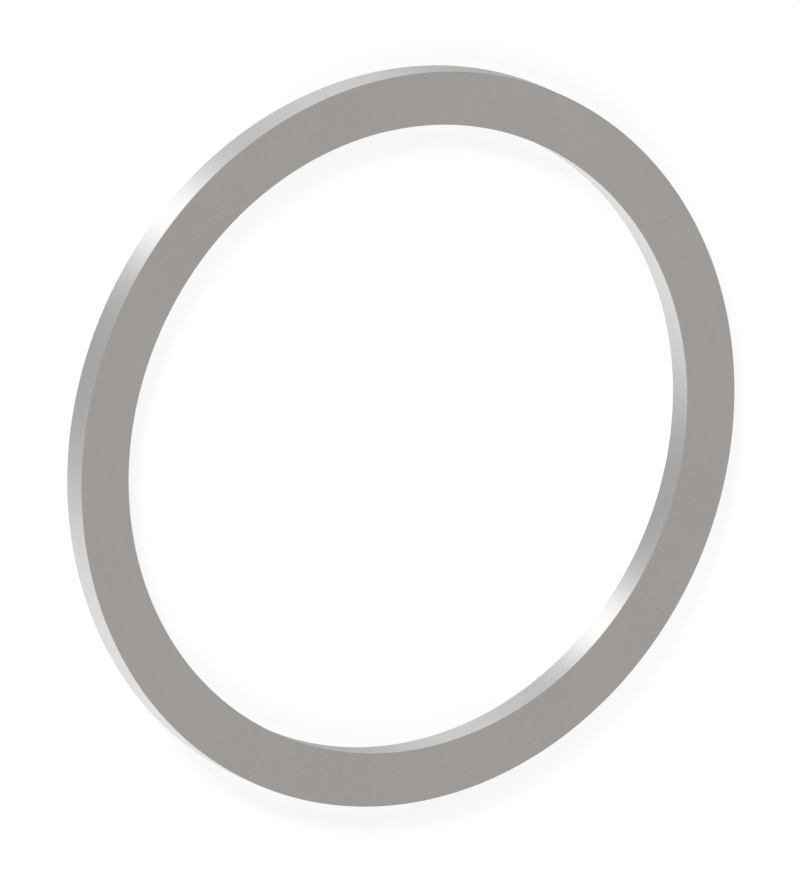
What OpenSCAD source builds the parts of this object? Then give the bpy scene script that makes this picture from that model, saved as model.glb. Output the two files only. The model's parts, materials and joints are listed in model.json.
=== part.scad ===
// Balance ring seal: a flat steel ring of rectangular section, turned from one piece.
// Lengths are in millimetres. The ring lies on its lower face at Z = 0, and its axis is Z.

/* [Ring] */
// Outside diameter, which fits inside a counterbore
outer_d = 90; // [60:0.5:140]
// Width of the sealing face, from the bore to the outside
face_w = 6.5; // [3:0.25:16]
// Thickness between the two lapped faces
thickness = 3.5; // [1:0.1:12]
// Side of the 45 degree break on each corner
edge_break = 0.05; // [0.02:0.01:0.5]

/* [Hidden] */

// Warm grey of the lapped steel
steel_grey = [0.62, 0.605, 0.592];
// Facets in a full turn
$fn = 240;
// Radius of the outside
r_out = outer_d / 2;
// Radius of the bore, which keeps the face at its width
r_in = r_out - face_w;
// Largest part of a side that one corner's break may take
break_share = 1 / 3;
// Break that is cut, limited so that a flat stays on each side of a thin section
corner = min(edge_break, face_w * break_share, thickness * break_share);

// Half section of the ring, a rectangle with its four corners broken
module ring_section() {
    polygon([
        [r_in + corner, 0],
        [r_out - corner, 0],
        [r_out, corner],
        [r_out, thickness - corner],
        [r_out - corner, thickness],
        [r_in + corner, thickness],
        [r_in, thickness - corner],
        [r_in, corner]
    ]);
}

// The whole ring, turned about its axis
module seal_ring() {
    color(steel_grey)
        rotate_extrude()
            ring_section();
}

seal_ring();
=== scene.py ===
# %% [markdown]
# # A balance ring seal
#
# The object is one flat steel ring, 90 mm across. In a hydraulic motor or pump it lies in a groove round a
# hub, and it seals with its two flat faces. It is turned from one piece, with no split, groove or insert.
#
# The imported model, called the frame here, holds the ring at its real size. Blender adds the looks: a mesh
# that is round enough for a close view, the finish of the faces and walls, and a plain studio round them.
# The size may not change, so the first step keeps the frame's box.

# %% Load the frame
import json
import math

import bpy
from mathutils import Matrix, Vector


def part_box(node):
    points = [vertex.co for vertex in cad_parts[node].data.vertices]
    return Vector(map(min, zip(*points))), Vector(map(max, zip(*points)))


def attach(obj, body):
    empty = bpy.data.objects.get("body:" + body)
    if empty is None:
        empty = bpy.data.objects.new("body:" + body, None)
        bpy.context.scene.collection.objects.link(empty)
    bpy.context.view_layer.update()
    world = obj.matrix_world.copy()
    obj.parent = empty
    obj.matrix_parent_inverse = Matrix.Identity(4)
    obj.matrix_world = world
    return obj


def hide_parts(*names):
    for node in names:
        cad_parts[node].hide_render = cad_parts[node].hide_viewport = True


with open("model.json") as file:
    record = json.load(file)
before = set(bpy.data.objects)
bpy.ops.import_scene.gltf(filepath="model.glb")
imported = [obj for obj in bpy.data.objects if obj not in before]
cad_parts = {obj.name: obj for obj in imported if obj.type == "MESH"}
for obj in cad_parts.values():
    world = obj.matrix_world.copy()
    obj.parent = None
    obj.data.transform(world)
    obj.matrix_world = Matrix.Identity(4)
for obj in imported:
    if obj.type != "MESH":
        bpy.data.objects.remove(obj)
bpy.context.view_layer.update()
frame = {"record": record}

# %% [markdown]
# ## Sizes from the frame
#
# Every size of the new ring is read from the frame, so the ring still fits if the frame is packed at
# another size. The bore and the outer wall are mounts of the record, which gives their radii and how far
# they run straight. The height comes from the solid's own box. Where a wall is shorter than the ring is
# high, the rest is the break on its two corners.

# %% Read the ring's sizes
MM = 0.001

mounts = {mount["name"]: mount["dims"] for mount in frame["record"]["mounts"]}
outer_r = mounts["outer_wall"]["r_mm"] * MM
bore_r = mounts["bore"]["r_mm"] * MM
wall_length = mounts["bore"]["length_mm"] * MM
low_corner, high_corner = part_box("seal_ring")
bottom, top = low_corner.z, high_corner.z

face_width = outer_r - bore_r
thickness = top - bottom
edge_break = (thickness - wall_length) / 2
print(f"outside {2 * outer_r / MM:.2f} mm, bore {2 * bore_r / MM:.2f} mm")
print(f"face {face_width / MM:.2f} mm wide, ring {thickness / MM:.2f} mm thick")
print(f"corners broken by {edge_break / MM:.2f} mm")

# %% [markdown]
# ## The section
#
# A ring could be a cylinder with a hole cut in it, or two circles joined by a bridge. Here it is a section
# that is turned round the axis, which is how a lathe makes it too. A corner is then drawn only once, and
# its break is the same all the way round.
#
# A plane is already a rectangle. It is stood upright at the ring's right-hand side and stretched to the
# face's width and the ring's thickness. A bevel of its vertices breaks the four corners. Its face is
# deleted and its outline kept, because that face would be a wall inside the steel.

# %% Draw the section
section_centre = Vector(((outer_r + bore_r) / 2, 0, (top + bottom) / 2))
UPRIGHT = (math.radians(90), 0, 0)

bpy.ops.object.select_all(action="DESELECT")
bpy.ops.mesh.primitive_plane_add(size=1, calc_uvs=False, location=section_centre, rotation=UPRIGHT)
ring = bpy.context.active_object
ring.name = "steel_seal_ring"
ring.data.name = "steel_seal_ring"

bpy.ops.object.mode_set(mode="EDIT")
bpy.ops.transform.resize(value=(face_width, 1, thickness), center_override=section_centre)
bpy.ops.mesh.bevel(offset=edge_break, affect="VERTICES", segments=1)
bpy.ops.mesh.delete(type="ONLY_FACE")
bpy.ops.object.mode_set(mode="OBJECT")
bpy.ops.object.transform_apply(location=True, rotation=True, scale=True)
for vertex in ring.data.vertices:
    print(f"section point: radius {vertex.co.x / MM:.2f} mm, height {vertex.co.z / MM:.2f} mm")

# %% [markdown]
# ## The full turn
#
# Edit mode's Spin could carry the outline round the axis, but it lists its new faces in another order at
# each run, and it leaves the last copy of the outline lying on the first. The Screw modifier is steadier.
# With no rise it works as a lathe: it makes the full turn and closes it by itself.
#
# With 720 steps there is a vertex at every half degree, and the outside strays from a true circle by less
# than a thousandth of a millimetre. Calculate Order, which is use_normal_calculate in a script, makes the
# faces agree on one side. The closed mesh has an inside and an outside, so Blender can then turn that side
# outwards.

# %% Turn the section
TURN_STEPS = 720

bpy.ops.object.modifier_add(type="SCREW")
full_turn = ring.modifiers[-1]
full_turn.axis = "Z"
full_turn.angle = math.tau
full_turn.steps = TURN_STEPS
full_turn.render_steps = TURN_STEPS
full_turn.use_normal_calculate = True
bpy.ops.object.modifier_apply(modifier=full_turn.name)

bpy.ops.object.mode_set(mode="EDIT")
bpy.ops.mesh.select_all(action="SELECT")
bpy.ops.mesh.normals_make_consistent(inside=False)
bpy.ops.object.mode_set(mode="OBJECT")
print("ring mesh:", len(ring.data.vertices), "vertices and", len(ring.data.polygons), "faces")

# %% [markdown]
# ## Round walls and crisp corners
#
# The walls should look round, and the corners should stay crisp. Smooth shading by angle does both: faces
# that meet at half a degree are blended, while the breaks meet their neighbours at 45 degrees and keep
# their edges. A count of the faces on each edge then proves that the mesh is closed.

# %% Smooth the walls and keep the corners
CRISP_ANGLE = math.radians(20)

bpy.ops.object.shade_smooth_by_angle(angle=CRISP_ANGLE)
faces_on_edge = {}
for face in ring.data.polygons:
    for edge in face.edge_keys:
        faces_on_edge[edge] = faces_on_edge.get(edge, 0) + 1
open_edges = sum(count != 2 for count in faces_on_edge.values())
print("edges without exactly two faces:", open_edges)

# %% [markdown]
# ## A metal to start from
#
# The finishes are shader nodes, with no picture in them. By hand they are wired in the shader editor. In a
# script each node takes several lines, so one helper adds a node and joins its inputs, and a second one
# starts a metal with the nodes that every finish needs.
#
# Patterns read Object coordinates, which on this ring are metres from the middle of its lower face. So a
# pattern has a real size, and it stays on the steel when the view moves.
#
# Seen almost edge-on, every metal turns into a mirror. Steel does so later than the shader assumes, and the
# Specular Tint, which is the share of light kept at such an angle, holds it back.

# %% Define the plain metal
EDGE_REFLECTION = (0.6, 0.6, 0.6, 1.0)


def add_node(tree, kind, inputs, **settings):
    """Adds a node. Each input is a value, or the output of another node, which is then joined to it."""
    node = tree.nodes.new(kind)
    for name, value in settings.items():
        setattr(node, name, value)
    for name, value in inputs.items():
        if isinstance(value, bpy.types.NodeSocket):
            tree.links.new(value, node.inputs[name])
        else:
            node.inputs[name].default_value = value
    return node


def new_metal(name):
    """Starts a metal finish: its material, its node tree, its shader and its Object coordinates."""
    material = bpy.data.materials.new(name)
    material.use_nodes = True
    tree = material.node_tree
    tree.nodes.clear()
    inputs = {"Metallic": 1.0, "Specular Tint": EDGE_REFLECTION}
    metal = add_node(tree, "ShaderNodeBsdfPrincipled", inputs)
    add_node(tree, "ShaderNodeOutputMaterial", {"Surface": metal.outputs["BSDF"]})
    place = add_node(tree, "ShaderNodeTexCoord", {}).outputs["Object"]
    return material, tree, metal, place


print(f"edge-on, a metal keeps {EDGE_REFLECTION[0]:.0%} of the shader's light")

# %% [markdown]
# ## Streaks
#
# A scratch or a tool mark is long one way and thin the other. A painted texture could show it, but noise
# needs no picture and never repeats: stretched along one direction, its grains become streaks. A Mapping
# node of the type Texture does that, and its Scale is then the size of a grain.
#
# Two more helpers serve all patterns. One adds two of them up. The other carries the values of one from the
# span where they gather to the range that the shader needs.

# %% Define the streaks
def streaks(tree, place, size, turn=0.0):
    """Noise whose grains have about that size along X, Y and Z, turned about Z by an angle."""
    stretch = {"Vector": place, "Rotation": (0, 0, turn), "Scale": size}
    stretched = add_node(tree, "ShaderNodeMapping", stretch, vector_type="TEXTURE").outputs["Vector"]
    inputs = {"Vector": stretched, "Scale": 1.0, "Detail": 1.0}
    return add_node(tree, "ShaderNodeTexNoise", inputs).outputs["Fac"]


def total(tree, first, second):
    """The sum of two patterns."""
    return add_node(tree, "ShaderNodeMath", {0: first, 1: second}, operation="ADD").outputs["Value"]


def spread(tree, pattern, source, target):
    """Carries the pattern's values from one range to another, and stops them at its ends."""
    inputs = {
        "Value": pattern,
        "From Min": source[0],
        "From Max": source[1],
        "To Min": target[0],
        "To Max": target[1],
    }
    return add_node(tree, "ShaderNodeMapRange", inputs).outputs["Result"]


print("patterns can be drawn, added up and spread")

# %% [markdown]
# ## From a pattern to a finish
#
# On real steel one scratch changes the shade, the gloss and the height at the same spot. So one pattern
# drives all three: the Base Color, the Roughness and, through a Bump node, the Normal. Marks this fine
# could also be cut into the mesh, but they would take millions of faces and show no better.

# %% Define how a pattern marks a metal
def shades(tree, pattern, colour, variation):
    """The colour, darker where the pattern is 0 and lighter where it is 1, by that share."""
    darker = [channel * (1 - variation) for channel in colour] + [1.0]
    lighter = [channel * (1 + variation) for channel in colour] + [1.0]
    inputs = {"Factor": pattern, "A": darker, "B": lighter}
    return add_node(tree, "ShaderNodeMix", inputs, data_type="RGBA").outputs["Result"]


def dress(tree, metal, pattern, colour, variation, roughness, depth):
    """Lets a pattern from 0 to 1 tint the metal, set its roughness and lift its surface."""
    tint = shades(tree, pattern, colour, variation)
    grain = spread(tree, pattern, (0, 1), roughness)
    relief = add_node(tree, "ShaderNodeBump", {"Height": pattern, "Distance": depth})
    tree.links.new(tint, metal.inputs["Base Color"])
    tree.links.new(grain, metal.inputs["Roughness"])
    tree.links.new(relief.outputs["Normal"], metal.inputs["Normal"])


print("a pattern can tint, roughen and lift a metal")

# %% [markdown]
# ## The lapped faces
#
# The faces are lapped: rubbed flat on a plate with loose grit. Lapping leaves no direction, only fine
# scratches that cross at every angle, and from a step away they blend into an even, warm satin grey.
#
# A plain grey would look like plastic. Three layers of streaks, each turned another way, give the crossing
# scratches, and a wide soft noise makes the grey drift a little round the ring, as hand pressure does. The
# four add up to values round 2. Their sum tints the metal, makes it rougher in the scratches and lifts the
# surface by a trace.

# %% Make the lapped finish
LAPPED_GREY = (0.3262, 0.3080, 0.2956)
SCRATCH_SIZE = (3.0 * MM, 0.1 * MM, 0.1 * MM)
SCRATCH_TURNS = [math.radians(degrees) for degrees in (15, 75, 135)]
PRESSURE_SIZE = (18 * MM, 18 * MM, 18 * MM)
SCRATCH_SPAN = (1.5, 2.5)

lapped_steel, tree, metal, place = new_metal("lapped_steel")
pattern = streaks(tree, place, PRESSURE_SIZE)
for turn in SCRATCH_TURNS:
    pattern = total(tree, pattern, streaks(tree, place, SCRATCH_SIZE, turn))
scratches = spread(tree, pattern, SCRATCH_SPAN, (0, 1))
dress(tree, metal, scratches, LAPPED_GREY, variation=0.075, roughness=(0.37, 0.27), depth=0.003 * MM)
print("lapped finish:", len(tree.nodes), "nodes")

# %% [markdown]
# ## The turned walls
#
# The bore and the outside are turned on a lathe. The tool leaves fine grooves round the wall, and they
# scatter light up and down but hardly sideways. So a lamp shows on the wall as a bright upright band, and
# the wall goes from light to dark round the ring while the face stays even. The shader's word for it is
# anisotropy.
#
# Anisotropy needs a direction. The Tangent node gives the one that runs round the Z axis, and a quarter
# turn makes the highlight stretch across the grooves. Streaks that are long round the wall and thin in
# height draw the grooves themselves.

# %% Make the turned finish
TURNED_GREY = (0.485, 0.478, 0.470)
GROOVE_SIZE = (30 * MM, 30 * MM, 0.12 * MM)
GROOVE_SPAN = (0.25, 0.75)
ANISOTROPY = 0.965
QUARTER_TURN = 0.25

turned_steel, tree, metal, place = new_metal("turned_steel")
grooves = spread(tree, streaks(tree, place, GROOVE_SIZE), GROOVE_SPAN, (0, 1))
dress(tree, metal, grooves, TURNED_GREY, variation=0.03, roughness=(0.615, 0.595), depth=0.003 * MM)
around = add_node(tree, "ShaderNodeTangent", {}, direction_type="RADIAL", axis="Z")
tree.links.new(around.outputs["Tangent"], metal.inputs["Tangent"])
metal.inputs["Anisotropic"].default_value = ANISOTROPY
metal.inputs["Anisotropic Rotation"].default_value = QUARTER_TURN
print("turned finish:", len(tree.nodes), "nodes")

# %% [markdown]
# ## The broken edges
#
# A stone or a tumbling drum takes the burr off the four edges and leaves a narrow dull band there. With the
# turned finish that band would mirror a lamp as a hard white line. A rough, fine-grained finish of its own
# keeps it matte, so the wall passes softly into the face.

# %% Make the broken-edge finish
BROKEN_GREY = (0.26, 0.25, 0.243)
GRIT_SIZE = (0.04 * MM, 0.04 * MM, 0.04 * MM)
GRIT_SPAN = (0.3, 0.7)

broken_edge_steel, tree, metal, place = new_metal("broken_edge_steel")
grit = spread(tree, streaks(tree, place, GRIT_SIZE), GRIT_SPAN, (0, 1))
dress(tree, metal, grit, BROKEN_GREY, variation=0.06, roughness=(0.75, 0.65), depth=0.001 * MM)
print("broken-edge finish:", len(tree.nodes), "nodes")

# %% [markdown]
# ## Finishes on the ring
#
# The slope of a face tells which finish it has: the walls stand upright, the broken edges lean at 45
# degrees and the lapped faces lie flat. The height of a face's normal measures that slope. For each finish
# the faces are selected by that test, and edit mode gives them the material, as one would by hand.

# %% Give each face its finish
HEIGHT_OF_NORMAL = {
    turned_steel: (0.0, 0.1),
    broken_edge_steel: (0.1, 0.9),
    lapped_steel: (0.9, 1.1),
}

for index, (finish, (lowest, highest)) in enumerate(HEIGHT_OF_NORMAL.items()):
    ring.data.materials.append(finish)
    bpy.ops.object.mode_set(mode="EDIT")
    bpy.ops.mesh.select_mode(type="FACE")
    bpy.ops.mesh.select_all(action="DESELECT")
    bpy.ops.object.mode_set(mode="OBJECT")
    for face in ring.data.polygons:
        face.select = lowest <= abs(face.normal.z) < highest
    bpy.ops.object.mode_set(mode="EDIT")
    ring.active_material_index = index
    bpy.ops.object.material_slot_assign()
    bpy.ops.object.mode_set(mode="OBJECT")
for index, finish in enumerate(HEIGHT_OF_NORMAL):
    print(finish.name, "faces:", sum(face.material_index == index for face in ring.data.polygons))

# %% [markdown]
# ## A map for baking
#
# Other programs can't compute these finishes, so for them the finishes are baked into pictures, and a UV
# map tells which spot of the ring lies where in a picture. A map made by an automatic unwrap shows all
# sides at one scale. A broken edge is narrower than a pixel there, and it comes out as a dashed white line.
#
# So the ring brings a map of its own, unrolled: the turn is cut into arcs, and in each arc every side of the
# section becomes a straight strip. A broken edge gets a taller strip than its width asks for, and gaps keep
# the strips apart. The Screw modifier has numbered the points step by step and the faces side by side, so
# these numbers tell where everything belongs.

# %% Lay out the strips of one arc
LEAST_STRIP = 0.6 * MM
STRIP_GAP = 0.35 * MM

points_per_step = len(ring.data.vertices) // TURN_STEPS
sides = len(ring.data.polygons) // TURN_STEPS
strip_edges = {}
map_height = STRIP_GAP / 2
for side in range(sides):
    first_face = ring.data.polygons[side * TURN_STEPS]
    start, end = [point for point in first_face.vertices if point < points_per_step]
    length = (ring.data.vertices[end].co - ring.data.vertices[start].co).length
    room = max(length, LEAST_STRIP)
    strip_edges[side, start] = map_height
    strip_edges[side, end] = map_height + room
    map_height += room + STRIP_GAP
    print(f"side {side}: {length / MM:.2f} mm of steel on a strip of {room / MM:.2f} mm")
map_height -= STRIP_GAP / 2

# %% [markdown]
# ## Unrolling
#
# Three arcs share the height of the picture, and each runs across it, less a narrow margin. A face spans
# one step of the turn: two of its corners lie at that step, and two at its far end.
#
# Along a strip the map runs round the ring, as the tangent of the walls does, so a program that takes the
# direction of the highlight from the map gets it right too. The name OFBake marks it as the map to bake
# through.

# %% Unroll the ring
ARCS = 3
SIDE_MARGIN = 0.005

export_map = ring.data.uv_layers.new(name="OFBake")
arc_steps = TURN_STEPS // ARCS
for face in ring.data.polygons:
    side, step = divmod(face.index, TURN_STEPS)
    arc, arc_step = divmod(step, arc_steps)
    for corner in face.loop_indices:
        corner_step, point = divmod(ring.data.loops[corner].vertex_index, points_per_step)
        far_end = corner_step != step
        along = SIDE_MARGIN + (1 - 2 * SIDE_MARGIN) * (arc_step + far_end) / arc_steps
        across = (arc + strip_edges[side, point] / map_height) / ARCS
        export_map.uv[corner].vector = (along, across)
print("strips on the map:", sides * ARCS)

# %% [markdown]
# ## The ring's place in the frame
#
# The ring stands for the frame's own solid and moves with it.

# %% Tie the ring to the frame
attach(ring, "root")
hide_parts("seal_ring")
print("ring rides on the frame")

# %% [markdown]
# ## The camera
#
# The ring lies flat, as it would on a bench, and the camera looks down on it. The photograph has no
# perspective: the outer and the inner edge are ellipses with one centre. So the camera is orthographic.
#
# The ellipses also give the view. Their short axis gives the tilt away from straight down, the direction of
# their long axis gives the roll, and their size and centre give the scale and the aim.

# %% Place the camera
PICTURE_PX = (800, 874)
FACE_CENTRE_PX = (408.13, 439.27)
OUTER_RADIUS_PX = 377.07
VIEW_TILT = math.radians(33.24)
VIEW_ROLL = math.radians(114.1)
CAMERA_DISTANCE = 0.5

metres_per_px = outer_r / OUTER_RADIUS_PX
view = Matrix.Rotation(VIEW_TILT, 3, "X") @ Matrix.Rotation(VIEW_ROLL, 3, "Z")
right, up, back = view.col
aside = (FACE_CENTRE_PX[0] - PICTURE_PX[0] / 2) * metres_per_px
below = (FACE_CENTRE_PX[1] - PICTURE_PX[1] / 2) * metres_per_px
aim = Vector((0, 0, top)) - right * aside + up * below

bpy.ops.object.camera_add(location=aim + back * CAMERA_DISTANCE, rotation=view.to_euler())
camera = bpy.context.active_object
camera.name = "photo_camera"
camera.data.type = "ORTHO"
camera.data.ortho_scale = max(PICTURE_PX) * metres_per_px
bpy.context.scene.camera = camera
print(f"the picture is {camera.data.ortho_scale / MM:.1f} mm high")

# %% [markdown]
# ## The lamps
#
# On the photograph's walls the light comes from three sides. A small lamp near the camera makes the one
# narrow highlight, a wide one makes the long bright stretch, and a weaker one makes a soft second band.
#
# Suns are used, because they light every part of the ring from the same direction and leave the floor even.
# A sun's angle is how wide it looks: a wide one gives a broad highlight and a soft shadow. All three stand
# low, because a low lamp reaches an upright wall better than it reaches the floor.

# %% Set up the lamps
LAMP_DISTANCE = 0.3


def add_lamp(name, azimuth, elevation, width, strength):
    """A sun that shines from that azimuth, counted from +X towards +Y, and that height above the floor."""
    rotation = (math.radians(90 - elevation), 0, math.radians(azimuth + 90))
    bpy.ops.object.light_add(type="SUN", rotation=rotation)
    lamp = bpy.context.active_object
    lamp.name = name
    lamp.location = lamp.rotation_euler.to_matrix() @ Vector((0, 0, LAMP_DISTANCE))
    lamp.data.angle = math.radians(width)
    lamp.data.energy = strength
    print(f"{name}: from {azimuth} degrees, {elevation} high, {width} wide, strength {strength}")


add_lamp("key_lamp", azimuth=243.5, elevation=30, width=18, strength=1.85)
add_lamp("fill_lamp", azimuth=1, elevation=30, width=84, strength=2.3)
add_lamp("side_lamp", azimuth=189, elevation=40, width=36, strength=0.77)

# %% [markdown]
# ## The floor
#
# The ring lies on a plain pale floor. A curved backdrop would hide where floor and wall meet, but a plane
# does so too if it is large enough: even a low view looks along it without reaching its edge.

# %% Lay the floor
FLOOR_SIZE = 8.0

bpy.ops.mesh.primitive_plane_add(size=FLOOR_SIZE, location=(0, 0, bottom))
floor = bpy.context.active_object
floor.name = "floor"
print(f"floor: {FLOOR_SIZE} m wide")

# %% [markdown]
# ## The floor's white
#
# The photograph's background is white. More light would bleach the steel, so the white is painted: the
# floor glows, but only to the camera and to the rays that the steel mirrors, since polished metal shows
# what stands round it. The Light Path node tells those rays from the rest.
#
# Under the glow the floor is a matte grey sheet, which still takes the ring's shadow. The glow is no lamp,
# so Cycles is told not to sample it as one.

# %% Paint the floor
FLOOR_GREY = (0.3, 0.3, 0.3, 1.0)
FLOOR_GLOW = 0.76
WHITE = (1.0, 1.0, 1.0, 1.0)


def seen_rays(tree):
    """1 for rays from the camera, from a mirror or through glass, and 0 for the rest."""
    path = add_node(tree, "ShaderNodeLightPath", {})
    direct = total(tree, path.outputs["Is Camera Ray"], path.outputs["Is Glossy Ray"])
    return total(tree, direct, path.outputs["Is Transmission Ray"])


white_floor = bpy.data.materials.new("white_floor")
white_floor.use_nodes = True
white_floor.cycles.emission_sampling = "NONE"
tree = white_floor.node_tree
tree.nodes.clear()
matte = add_node(tree, "ShaderNodeBsdfDiffuse", {"Color": FLOOR_GREY})
glow_level = spread(tree, seen_rays(tree), (0, 1), (0, FLOOR_GLOW))
glow = add_node(tree, "ShaderNodeEmission", {"Color": WHITE, "Strength": glow_level})
sheet = add_node(tree, "ShaderNodeAddShader", {0: matte.outputs["BSDF"], 1: glow.outputs["Emission"]})
add_node(tree, "ShaderNodeOutputMaterial", {"Surface": sheet.outputs["Shader"]})
floor.data.materials.append(white_floor)
print("floor paint:", len(tree.nodes), "nodes")

# %% [markdown]
# ## The sky
#
# The sky is white to the same rays and dim to all others. So it fills the background and shows in the
# steel, but adds little light to the floor. The Standard view transform then shows each colour as it is
# written, where Blender's usual one would turn the white grey.

# %% Paint the sky
DIM_SKY = 0.1

sky = bpy.data.worlds.new("studio_sky")
sky.use_nodes = True
tree = sky.node_tree
tree.nodes.clear()
sky_level = spread(tree, seen_rays(tree), (0, 1), (DIM_SKY, 1.0))
background = add_node(tree, "ShaderNodeBackground", {"Color": WHITE, "Strength": sky_level})
add_node(tree, "ShaderNodeOutputWorld", {"Surface": background.outputs["Background"]})
bpy.context.scene.world = sky
bpy.context.scene.view_settings.view_transform = "Standard"
print("sky paint:", len(tree.nodes), "nodes")
